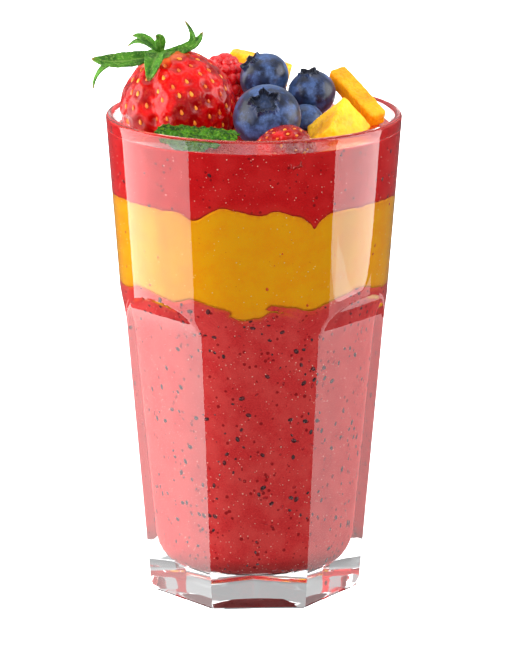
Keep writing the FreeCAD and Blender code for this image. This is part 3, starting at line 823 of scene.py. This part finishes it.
def seed_places(radius, rise, drop, gap, top, bottom, seed):
    """Staggered rows of seeds: lift and turn angles."""
    picks = np.random.default_rng(seed)
    lifts, turns = [], []
    lift, row = math.radians(top), 0
    while lift > math.radians(bottom):
        count = max(3, int(round(2 * math.pi * radius * math.cos(lift) / gap)))
        for step in range(count):
            turn = 2 * math.pi * (step + 0.5 * (row % 2)) / count
            turns.append(turn + picks.normal(0, 0.10 * gap / radius))
            lifts.append(lift + picks.normal(0, 0.08 * gap / radius))
        reach = rise if lift > 0 else drop
        speed = math.hypot(radius * math.sin(lift), reach * math.cos(lift))
        lift -= gap * 0.88 / speed
        row += 1
    return np.array(lifts), np.array(turns)


def make_strawberry(name, place, aim, radius, rise, drop, gap, finish, seed_colour, crease, seed,
                    pale_from=62.0, top=66.0, hollow_depth=0.62):
    """The flesh with its creases and a hollow round each seed, and the seeds as a piece of their own."""
    rows, columns = 190, 300
    lift = np.linspace(math.pi / 2 - 0.004, -math.pi / 2 + 0.004, rows)
    turn = 2 * math.pi * np.arange(columns) / columns
    lifts, turns = np.meshgrid(lift, turn, indexing="ij")
    points, outward, _ = on_berry(place, aim, radius, rise, drop, lifts, turns)
    points, outward = points.reshape(-1, 3), outward.reshape(-1, 3)
    lifts, turns = lifts.ravel(), turns.ravel()
    push = 0.35 * ripple(points, 9.0, seed) + 0.10 * ripple(points, 2.4, seed + 1)
    for middle, width, depth in crease:
        middle = math.radians(middle)
        gap_turn = (turns - middle - 0.12 * np.sin(2 * lifts) + math.pi) % (2 * math.pi) - math.pi
        push -= depth * np.exp(-(gap_turn / width) ** 2) * np.cos(lifts * 0.8)
        beside = (np.abs(gap_turn) - 2.2 * width) / (1.2 * width)
        push += 0.45 * depth * np.exp(-beside ** 2) * np.cos(lifts)
    seed_lift, seed_turn = seed_places(radius, rise, drop, gap, top, -70.0, seed)
    spots, facing, along = on_berry(place, aim, radius, rise, drop, seed_lift, seed_turn)
    hollow = np.zeros(len(points))
    rim = np.zeros(len(points))
    for spot, length in zip(spots, along):
        apart = points - spot
        lengthwise = apart @ length
        far = np.sqrt(np.maximum((apart ** 2).sum(1) - 0.35 * lengthwise ** 2, 0.0))
        hollow = np.maximum(hollow, np.exp(-(far / (0.27 * gap)) ** 2))
        rim = np.maximum(rim, np.exp(-((far - 0.43 * gap) / (0.13 * gap)) ** 2))
    push += 0.16 * rim - hollow_depth * hollow
    crown = np.exp(-((math.pi / 2 - lifts) / 0.16) ** 2)
    push -= 1.2 * crown
    points = points + outward * push[:, None]
    piece = build(name, points, ring_faces(columns, rows))
    if len(piece.data.vertices) == len(points):
        # the hollow mark also carries painted shade into the skin's colour
        mark(piece, "hollow", hollow)
        start = math.radians(pale_from)
        edge = 0.10 * ripple(points, 2.5, seed + 3)
        mark(piece, "shoulder", np.clip((lifts + edge - start) / 0.22, 0.0, 1.0) * 0.75)
    piece.data.materials.append(finish)
    picks = np.random.default_rng(seed + 50)
    nearest = [int(np.argmin(((points - spot) ** 2).sum(1))) for spot in spots]
    seated = points[nearest] + facing * 0.10
    seeds = grains_on(name + "_seeds", seated, facing, along, picks.uniform(0.85, 1.15, len(spots)),
                      seed_colour, Length=1.5 * MM * gap / 4.6, Width=0.85 * MM * gap / 4.6,
                      Thickness=0.62 * MM, Taper=0.35, Roundness=3)
    return piece, seeds


def make_raspberry(place, aim, radius, rise, drop, finish):
    """Rows of drupelets, with their middles sunk below the berry's outline."""
    gap, sunk = 3.0, 1.35
    lifts, turns, sizes = [], [], []
    picks = np.random.default_rng(4)
    for row, lift in enumerate(np.radians([84, 60, 36, 12, -12, -36])):
        count = max(3, int(round(2 * math.pi * radius * math.cos(lift) / gap)))
        for step in range(count):
            turns.append(2 * math.pi * (step + 0.5 * (row % 2)) / count + picks.normal(0, 0.05))
            lifts.append(lift + picks.normal(0, 0.03))
            sizes.append(picks.uniform(0.9, 1.12))
    spots, facing, along = on_berry(place, aim, radius - sunk, rise - sunk, drop - sunk,
                                    np.array(lifts), np.array(turns))
    return grains_on("raspberry_fruit", spots, facing, along, sizes, finish, Length=3.5 * MM,
                     Width=3.5 * MM, Thickness=3.4 * MM, Taper=0.0, Roundness=4)


def make_blueberry(name, place, aim, radius, rise, finish, spin, seed, crown_scale=0.34):
    """A flattened berry with a ragged five-pointed crown round its pit."""
    crown = radius * crown_scale
    columns = 200
    near_pole = np.linspace(0.012, 1.75 * crown / radius, 64)
    rest = np.linspace(1.75 * crown / radius, math.pi - 0.012, 74)[1:]
    tilt = np.concatenate([near_pole, rest])
    lift = math.pi / 2 - tilt
    turn = 2 * math.pi * np.arange(columns) / columns
    lifts, turns = np.meshgrid(lift, turn, indexing="ij")
    points, outward, _ = on_berry(place, aim, radius, rise, rise, lifts, turns)
    right, away, up = seat(aim)
    across = np.cos(turns)[..., None] * right + np.sin(turns)[..., None] * away
    out = (radius * np.cos(lifts))
    lobes = 0.5 + 0.5 * np.cos(5 * (turns - spin))
    ragged = 0.10 * np.sin(17 * turns + seed) + 0.07 * np.sin(29 * turns + 2 * seed) + \
        0.10 * np.sin(3 * turns + seed)
    edge = crown * (0.80 + 0.30 * lobes + 0.5 * ragged)
    inside = 1.0 / (1.0 + np.exp((out - edge) / (0.045 * crown)))
    collar = np.exp(-((out - edge * 1.07) / (0.16 * crown)) ** 2)
    fall = 0.42 * crown * (1.0 - 0.35 * (out / edge).clip(0, 1) ** 2) - \
        0.22 * crown * np.exp(-(out / (0.28 * crown)) ** 2)
    height = collar * crown * (0.10 + 0.30 * lobes + 0.35 * ragged.clip(0, 1)) - inside * fall
    points = points + up * height[..., None] + across * (collar * lobes * 0.16 * crown)[..., None]
    flat = points.reshape(-1, 3)
    swell = 0.10 * ripple(flat, 5.0, seed)
    flat = flat + outward.reshape(-1, 3) * swell[:, None]
    piece = build(name, flat, ring_faces(columns, len(lift)))
    if len(piece.data.vertices) == len(flat):
        # crown mark: the crown's own dark colour plus painted shade in its pit and in the crease at its
        # edge; the middle of the pit is kept lighter
        dark = np.clip(inside * 0.75 + 0.75 * np.exp(-((out - edge) / (0.10 * crown)) ** 2), 0, 1)
        dark *= 1.0 - 0.45 * np.exp(-(out / (0.5 * crown)) ** 2)
        mark(piece, "crown", dark.ravel())
    piece.data.materials.append(finish)
    return piece


# ---------------------------------------------------------------- leaves and cut mango

def blade(line_points, across, up_hint, widths, columns, curl, teeth, seed):
    """A leaf blade along a bent line: points of one sheet, and rib and tip marks."""
    count = len(line_points)
    sides = np.linspace(-1.0, 1.0, columns)
    points, rib, tip = [], [], []
    for index in range(count):
        share = index / (count - 1)
        run = line_points[min(index + 1, count - 1)] - line_points[max(index - 1, 0)]
        run = unit(run)
        side = unit(across - (across @ run) * run)
        normal = np.cross(side, run)
        if normal @ up_hint < 0:
            normal = -normal
        ragged = 1.0 + teeth * math.sin(index * 2.1 + seed)
        for position in sides:
            bow = widths[index] * (curl * position ** 2 - 0.10 * math.exp(-(position / 0.12) ** 2))
            vein = 0.05 * math.sin(26 * share - 5 * abs(position) + seed) * widths[index] * 0.5
            points.append(line_points[index] + side * position * widths[index] * 0.5 * ragged +
                          normal * (bow + vein))
            rib.append(math.exp(-(position / 0.10) ** 2) * 0.6)
            tip.append(max(0.0, (share - 0.9) / 0.1) ** 1.5)
    return points, rib, tip


def make_calyx(finish):
    """The strawberry's leaves: tip, lift of the middle, way the face looks, widest width."""
    sepals = (
        ((-19.2, -3.0, -0.9), (-1.0, -2.5, -1.0), (-0.15, -0.75, 0.65), 4.9),
        ((-19.0, 0.5, -10.2), (-4.4, -0.5, 2.4), (-0.5, -0.5, 0.7), 2.4),
        ((-7.8, 4.0, 4.4), (0.0, 0.5, 1.5), (0.3, -0.8, 0.4), 2.4),
        ((-9.2, 6.5, 1.0), (0.0, 1.0, 2.2), (0.2, -0.7, 0.7), 2.6),
        ((-1.2, -2.0, 5.1), (0.6, -0.5, 1.6), (0.1, -0.9, 0.3), 3.0),
        ((7.1, 5.0, 8.4), (5.2, 1.0, -2.2), (-0.4, -0.7, 0.5), 2.4),
        ((12.0, 2.0, 5.8), (2.5, 0.5, -1.2), (-0.2, -0.7, 0.6), 3.2),
        ((-3.0, -13.3, -5.4), (0.4, -3.6, 3.4), (-0.2, -0.8, 0.5), 5.6),
    )
    aim = unit(BIG_AIM)
    root = np.array(BIG_PLACE) + aim * 16.6
    all_points, all_faces, ribs, tips = [], [], [], []
    columns, count = 15, 34
    for index, (tip_offset, lift, facing, width) in enumerate(sepals):
        tip = root + np.array(tip_offset)
        bend = np.array(lift)
        middle = (root + tip) / 2 + bend
        line, widths = [], []
        for step in range(count):
            share = step / (count - 1)
            spot = root * (1 - share) ** 2 + middle * (2 * share * (1 - share)) + tip * share ** 2
            line.append(spot + bend * (2 * share * (1 - share)))
            widths.append(width * max(0.05, 0.10 + 0.90 * math.sin(math.pi * (0.10 + 0.90 * share)) ** 0.8)
                          * (1.0 if share < 0.97 else 0.6))
        across = np.cross(tip - root, np.array(facing))
        points, rib, tipped = blade(line, across, np.array(facing), widths, columns, 0.16,
                                    0.05 if width > 6 else 0.03, index)
        start = len(all_points)
        all_points += points
        ribs += rib
        tips += tipped
        for row in range(count - 1):
            for column in range(columns - 1):
                a = start + row * columns + column
                all_faces.append((a, a + 1, a + columns + 1, a + columns))
    base = len(all_points)
    right, away, up = seat(aim)
    rings, around = 5, 40
    for ring in range(rings):
        for step in range(around):
            turn = 2 * math.pi * step / around
            far = 3.6 * (ring + 0.4) / (rings - 0.6) * (1 + 0.12 * math.sin(5 * turn))
            all_points.append(root + (right * math.cos(turn) + away * math.sin(turn)) * far -
                              up * (0.2 + 0.07 * far ** 1.7))
            ribs.append(0.3)
            tips.append(0.0)
    for a, b, c, d in ring_faces(around, rings, cap_first=False, cap_last=False):
        all_faces.append((base + a, base + b, base + c, base + d))
    all_faces.append(tuple(base + step for step in range(around)))
    piece = build("strawberry_calyx", all_points, all_faces)
    if len(piece.data.vertices) == len(all_points):
        mark(piece, "rib", ribs)
        mark(piece, "tip", tips)
    return finished(thickened(piece, 0.45, 0.0), finish)


def make_mint(finish):
    """The crinkled mint leaf that lies bent over the fruit, inside the rim."""
    turn = math.radians(-23.0)
    spin = np.array([[math.cos(turn), -math.sin(turn), 0], [math.sin(turn), math.cos(turn), 0], [0, 0, 1]])
    bulge = spin @ unit((0, -0.38, 0.925))
    line = spin @ np.array([1.0, 0, 0])
    across = np.cross(line, bulge)
    middle = np.array([-14.8, -27.4, LEVEL - 3.2])
    length, half_width, roll = 24.3, 5.9, 8.3
    rows, columns = 150, 90
    points, rib = [], []
    for row in range(rows):
        share = row / (rows - 1)
        half = half_width * math.sin(math.pi * (0.05 + 0.90 * share)) ** 0.75
        teeth = 1.0 + 0.06 * abs(math.sin(share * 26.0))
        for column in range(columns):
            side = -1.0 + 2.0 * column / (columns - 1)
            angle = side * half * teeth / roll
            veins = math.cos(30.0 * share - 9.0 * abs(side))
            radius = 8.35 + 0.26 * veins * (0.3 + abs(side)) - 0.7 * math.exp(-(side / 0.07) ** 2)
            points.append(middle + line * (share - 0.5) * length +
                          (bulge * math.cos(angle) + across * math.sin(angle)) * radius)
            rib.append(0.75 * math.exp(-(side / 0.06) ** 2) + 0.35 * max(0.0, -veins) ** 3)
    points = np.array(points)
    bumps = 0.50 * ripple(points, 1.7, 3, 3) + 0.24 * ripple(points, 0.7, 9, 2)
    outward = points - middle - np.outer((points - middle) @ line, line)
    outward /= np.linalg.norm(outward, axis=1, keepdims=True)
    points = points + outward * bumps[:, None]
    faces = ring_faces(columns, rows, closed=False, cap_first=False, cap_last=False)
    piece = build("mint_blade", points, faces)
    if len(piece.data.vertices) == len(points):
        mark(piece, "rib", rib)
        mark(piece, "tip", np.zeros(len(points)))
    return finished(thickened(piece, 0.5, -1.0), finish)


def make_cut_mango(name, node, finish, seed):
    """Cut fruit from its solid: softened edges and slightly uneven cut faces."""
    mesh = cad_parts[node].data.copy()
    mesh.name = name
    piece = linked(name, mesh)
    turned_out(mesh, merge=1e-6)
    remesh = piece.modifiers.new("even", "REMESH")
    remesh.mode = "VOXEL"
    remesh.voxel_size = 0.32 * MM
    smooth = piece.modifiers.new("soften", "SMOOTH")
    smooth.factor = 0.5
    smooth.iterations = 5
    applied(piece)
    points = points_of(piece)
    push = 0.25 * ripple(points, 6.0, seed) + 0.12 * ripple(points, 1.6, seed + 2)
    set_points(piece, points + normals_of(piece) * push[:, None])
    return finished(piece, finish)


# ---------------------------------------------------------------- putting it together

def keep(piece, slot, *nodes):
    """Rides on the one body and stands for the nodes; the slot is not used."""
    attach(piece, "root")
    if nodes:
        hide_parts(*nodes)
    return piece


tumbler = keep(make_tumbler(), "glass", "glass")
tumbler.visible_shadow = False

lower, mango_puree, upper = make_drink()
keep(lower, "berry_smoothie", "lower_smoothie")
keep(mango_puree, "mango_smoothie", "mango_layer")
keep(upper, "upper_berry_smoothie", "upper_smoothie")


def scatter_on(name, host, finish, slot, **values):
    """Grains scattered over the side of one layer."""
    piece = with_tree(linked(name, host.data.copy()), SCATTER, Material=finish, **values)
    return keep(finished(piece, finish), slot)


dark_seeds = seed_finish("dark_berry_seeds", tint(28, 6, 10), tint(74, 14, 20))
red_bits = seed_finish("red_berry_bits", tint(150, 4, 14), tint(186, 16, 24), 0.35)
pale_bubbles = seed_finish("pale_flecks", tint(244, 150, 138), tint(255, 200, 180), 0.3)
amber_bits = seed_finish("amber_flecks", tint(206, 92, 10), tint(228, 60, 20), 0.4)
tan_flecks = seed_finish("golden_flecks", tint(255, 214, 110), tint(250, 226, 150), 0.35)

# how many on a square millimetre, apart, patchiness, seed, length, width, thickness, smallest, largest
for name, host, finish, slot, numbers in (
        ("berry_layer_seeds", lower, dark_seeds, "berry_smoothie",
         (0.045, 1.5, 0.7, 11, 1.7, 1.2, 0.5, 0.45, 1.15)),
        ("berry_layer_bits", lower, red_bits, "berry_smoothie",
         (0.020, 1.8, 0.6, 23, 1.5, 0.8, 0.4, 0.4, 1.3)),
        ("berry_layer_flecks", lower, pale_bubbles, "berry_smoothie",
         (0.16, 0.6, 0.5, 5, 0.42, 0.34, 0.25, 0.4, 1.3)),
        ("top_layer_seeds", upper, dark_seeds, "upper_berry_smoothie",
         (0.016, 1.8, 0.7, 31, 1.3, 0.95, 0.5, 0.45, 1.15)),
        ("top_layer_flecks", upper, pale_bubbles, "upper_berry_smoothie",
         (0.14, 0.6, 0.5, 8, 0.42, 0.34, 0.25, 0.4, 1.3)),
        ("mango_layer_bits", mango_puree, amber_bits, "mango_smoothie",
         (0.010, 2.2, 0.5, 41, 1.1, 0.8, 0.4, 0.35, 1.1)),
        ("mango_layer_flecks", mango_puree, tan_flecks, "mango_smoothie",
         (0.10, 0.7, 0.5, 44, 0.4, 0.34, 0.25, 0.4, 1.3))):
    density, apart, patchiness, seed, length, width, thickness, smallest, largest = numbers
    tiny = name.endswith("flecks")
    scatter_on(name, host, finish, slot, Per_square_mm=density, Apart=apart * MM, Patchiness=patchiness,
               Seed=seed, Length=length * MM, Width=width * MM, Thickness=thickness * MM, Smallest=smallest,
               Largest=largest, Sink=(0.02 if tiny else 0.05) * MM, Roundness=1 if tiny else 2)

berry_skin = strawberry_finish("strawberry_skin", tint(196, 1, 3), tint(120, 0, 3), tint(236, 112, 56))
achene = seed_finish("strawberry_seeds", tint(222, 140, 44), tint(186, 70, 22), 0.35)
big, big_seeds = make_strawberry(
    "big_strawberry", BIG_PLACE, BIG_AIM, 16.3, 16.0, 18.5, 4.7,
    berry_skin, achene, ((-117, 0.16, 1.3), (40, 0.2, 0.8)), 3)
keep(big, "strawberry_flesh", "strawberry")
keep(big_seeds, "strawberry_flesh")
small, small_seeds = make_strawberry(
    "little_strawberry", (9.6, -29.6, LEVEL - 1.3), (0.93, 0.16, 0.20), 7.8, 7.5, 11.0, 2.9,
    berry_skin, achene, (), 8, pale_from=80.0, top=80.0, hollow_depth=0.45)
keep(small, "strawberry_flesh", "small_strawberry")
keep(small_seeds, "strawberry_flesh")

calyx = make_calyx(leaf_finish("strawberry_leaf", tint(62, 112, 26), tint(30, 70, 14), tint(126, 158, 70),
                               tint(132, 164, 80), tint(112, 78, 36)))
keep(calyx, "strawberry_leaf", "strawberry_leaves")
keep(make_raspberry((-8.8, 22.0, LEVEL + 8.8), (0.05, 0.10, 1.0), 6.8, 8.0, 9.0, raspberry_finish()),
     "raspberry_flesh", "raspberry")

blue = blueberry_finish()
for name, node, place, aim, radius, rise, spin, seed in (
        ("back_blueberry", "blueberry_back", (3.0, 14.4, 11.6), (-0.66, -0.12, 0.74), 7.3, 6.7, 0.3, 2),
        ("front_blueberry", "blueberry_front", (3.7, -14.5, 5.8), (-0.08, -0.72, 0.70), 9.6, 8.2, 0.5, 5),
        ("right_blueberry", "blueberry_right", (16.6, 10.6, 7.8), (-0.16, -0.12, 0.98), 6.9, 6.5, 0.9, 7),
        ("low_blueberry", "blueberry_low", (14.8, -0.6, 1.4), (0.3, 0.8, 0.5), 5.3, 5.2, 0.2, 9),
        ("small_blueberry", "blueberry_nub", (0.6, 2.0, 4.4), (-0.62, -0.25, 0.75), 5.2, 5.0, 0.6, 12)):
    keep(make_blueberry(name, (place[0], place[1], LEVEL + place[2]), aim, radius, rise, blue, spin, seed),
         "blueberry_skin", node)

bright_mango = mango_finish("cut_mango", tint(240, 178, 14), tint(226, 150, 4), tint(250, 206, 66))
deep_mango = mango_finish("ripe_cut_mango", tint(240, 158, 4), tint(226, 128, 0), tint(248, 186, 40))
for name, node, finish, seed in (("mango_piece_right", "mango_wedge", deep_mango, 4),
                                 ("mango_piece_front", "mango_chunk", bright_mango, 6),
                                 ("mango_piece_back", "mango_slab", bright_mango, 9)):
    keep(make_cut_mango(name, node, finish, seed), "mango_flesh", node)
keep(make_mint(leaf_finish("mint", tint(40, 88, 2), tint(14, 46, 2), tint(120, 160, 26),
                           tint(70, 120, 14), tint(60, 100, 20))), "mint_green", "mint_leaf")


# ---------------------------------------------------------------- floor, light and camera

FLOOR_REACH = 3000.0
FLOOR_DROP = -0.2
floor = build("floor", [(x * FLOOR_REACH, y * FLOOR_REACH, FLOOR_DROP)
                        for x, y in ((-1, -1), (1, -1), (1, 1), (-1, 1))], [(0, 1, 2, 3)])
floor.data.materials.append(floor_finish())
floor.visible_glossy = False


def softbox(name, place, look_at, width, height, radiance):
    """A plain rectangular soft light; radiance is how bright its face is."""
    lamp = bpy.data.lights.new(name, "AREA")
    lamp.shape = "RECTANGLE"
    lamp.size, lamp.size_y = width, height
    lamp.energy = radiance * width * height * math.pi
    holder = linked(name, lamp)
    holder.location = place
    holder.rotation_euler = (Vector(look_at) - Vector(place)).to_track_quat("-Z", "Y").to_euler()
    holder.visible_camera = False
    return holder


def studio_card(name, points, faces, shade, radiance, rough, gloss):
    """A card of the studio that the camera does not see."""
    card = build(name, points, faces)
    finish = material(name + "_card", Roughness=rough, Specular_IOR_Level=gloss, Emission_Strength=radiance,
                      Base_Color=(shade, shade, shade * 1.03, 1.0), Emission_Color=WHITE)[0]
    card.data.materials.append(finish)
    card.visible_camera = False
    return card


def curved_panel(name, reach, first, last, low, high, radiance):
    """A soft light bent round the glass, from one bearing to another, with rounded lower corners."""
    count = 41
    shares = np.linspace(0.0, 1.0, count)
    turns = np.radians(first + (last - first) * shares)
    feet = low[0] + (low[1] - low[0]) * shares + 26.0 * np.abs(2.0 * shares - 1.0) ** 8
    points = [(reach * math.sin(turn), -reach * math.cos(turn), level)
              for levels in (feet, np.full(count, float(high))) for turn, level in zip(turns, levels)]
    faces = [(i + 1, i, i + count, i + count + 1) for i in range(count - 1)]
    return studio_card(name, points, faces, 0.0, radiance, 1.0, 0.0)


def card_on_floor(name, corners, shade, glow=0.0):
    """A card lying round the foot that only shows through the clear glass."""
    level = -0.1 if glow else 0.4
    points = [(x, y, level) for x, y in corners]
    card = studio_card(name, points, [tuple(range(len(corners)))], shade, glow, 0.9, 0.1)
    card.visible_diffuse = glow > 0.0
    card.visible_glossy = False
    card.visible_shadow = False


card_on_floor("right_grey", ((36, -30), (120, -30), (120, 160), (9, 160), (9, 36), (30, 30)), 0.16)
card_on_floor("left_grey", ((-36, -30), (-30, 30), (-13, 36), (-13, 160), (-120, 160), (-120, -30)), 0.42)
card_on_floor("foot_glow", [(30.0 * math.cos(turn), 30.0 * math.sin(turn))
                            for turn in np.linspace(0.0, 2.0 * math.pi, 49)[:-1]], 0.9, 2.2)
softbox("left_softbox", (-0.62, -0.02, 0.10), (0, 0, 0.10), 0.90, 1.10, 3.9)
curved_panel("right_softbox", 660.0, 66.0, 114.0, (-149.0, -117.0), 700.0, 4.8)
softbox("right_low_card", (0.62, 0.02, -0.365), (0, 0, -0.365), 0.58, 0.50, 1.7)
curved_panel("left_back_card", 600.0, -176.0, -136.0, (-450.0, -450.0), -90.0, 1.1)
curved_panel("right_back_card", 600.0, 136.0, 176.0, (-450.0, -450.0), -90.0, 1.1)
for name, place, width, height, radiance in (
        ("front_fill", (0.0, -1.15, 0.70), 1.3, 0.9, 6.0),
        ("left_fill", (-0.88, 0.22, 0.22), 0.7, 0.7, 12.0),
        ("right_fill", (0.88, 0.22, 0.22), 0.7, 0.7, 14.0),
        ("back_fill", (0.0, 1.0, 0.25), 1.2, 0.7, 4.6)):
    fill = softbox(name, place, (0, 0, 0.07), width, height, radiance)
    fill.visible_glossy = False
    fill.visible_transmission = False
back_glow = curved_panel("back_glow", 900.0, 166.0, 186.0, (0.0, 0.0), 600.0, 1.15)
back_glow.visible_glossy = False
back_glow.visible_diffuse = False
softbox("top_softbox", (0.0, 0.25, 1.1), (0, 0, 0.1), 0.9, 0.7, 1.4)

world = bpy.data.worlds.new("studio")
bpy.context.scene.world = world
world.use_nodes = True
sky = Tree(world.node_tree)
bearing = sky.node("ShaderNodeSeparateXYZ", {0: sky.node("ShaderNodeTexCoord").outputs["Generated"]})
below = (0.14, 0.14, 0.145, 1)
colour = sky.mix(sky.fade(bearing.outputs[2], -0.1, 0.35), below, (0.50, 0.505, 0.51, 1))
background = world.node_tree.nodes["Background"]
sky.feed(background.inputs["Color"], colour)
background.inputs["Strength"].default_value = 1.0

CAMERA_PLACE = (0.0, -1.21634, 0.38468)
CAMERA_DIP = 0.2475
FOCAL_LENGTH = 240.89
SIDE_SHIFT = -0.0014
lens = bpy.data.cameras.new("camera")
camera = linked("camera", lens)
camera.location = CAMERA_PLACE
camera.rotation_euler = (math.pi / 2 - CAMERA_DIP, 0.0, 0.0)
lens.lens = FOCAL_LENGTH
lens.shift_x = SIDE_SHIFT
lens.clip_end = 100.0
scene = bpy.context.scene
scene.camera = camera
scene.view_settings.view_transform = "Standard"
scene.cycles.use_denoising = True
scene.cycles.max_bounces = 24
scene.cycles.transmission_bounces = 24
scene.cycles.glossy_bounces = 12
scene.cycles.diffuse_bounces = 4
scene.cycles.sample_clamp_indirect = 0.0
scene.cycles.caustics_refractive = False
scene.cycles.caustics_reflective = False

bpy.context.view_layer.update()
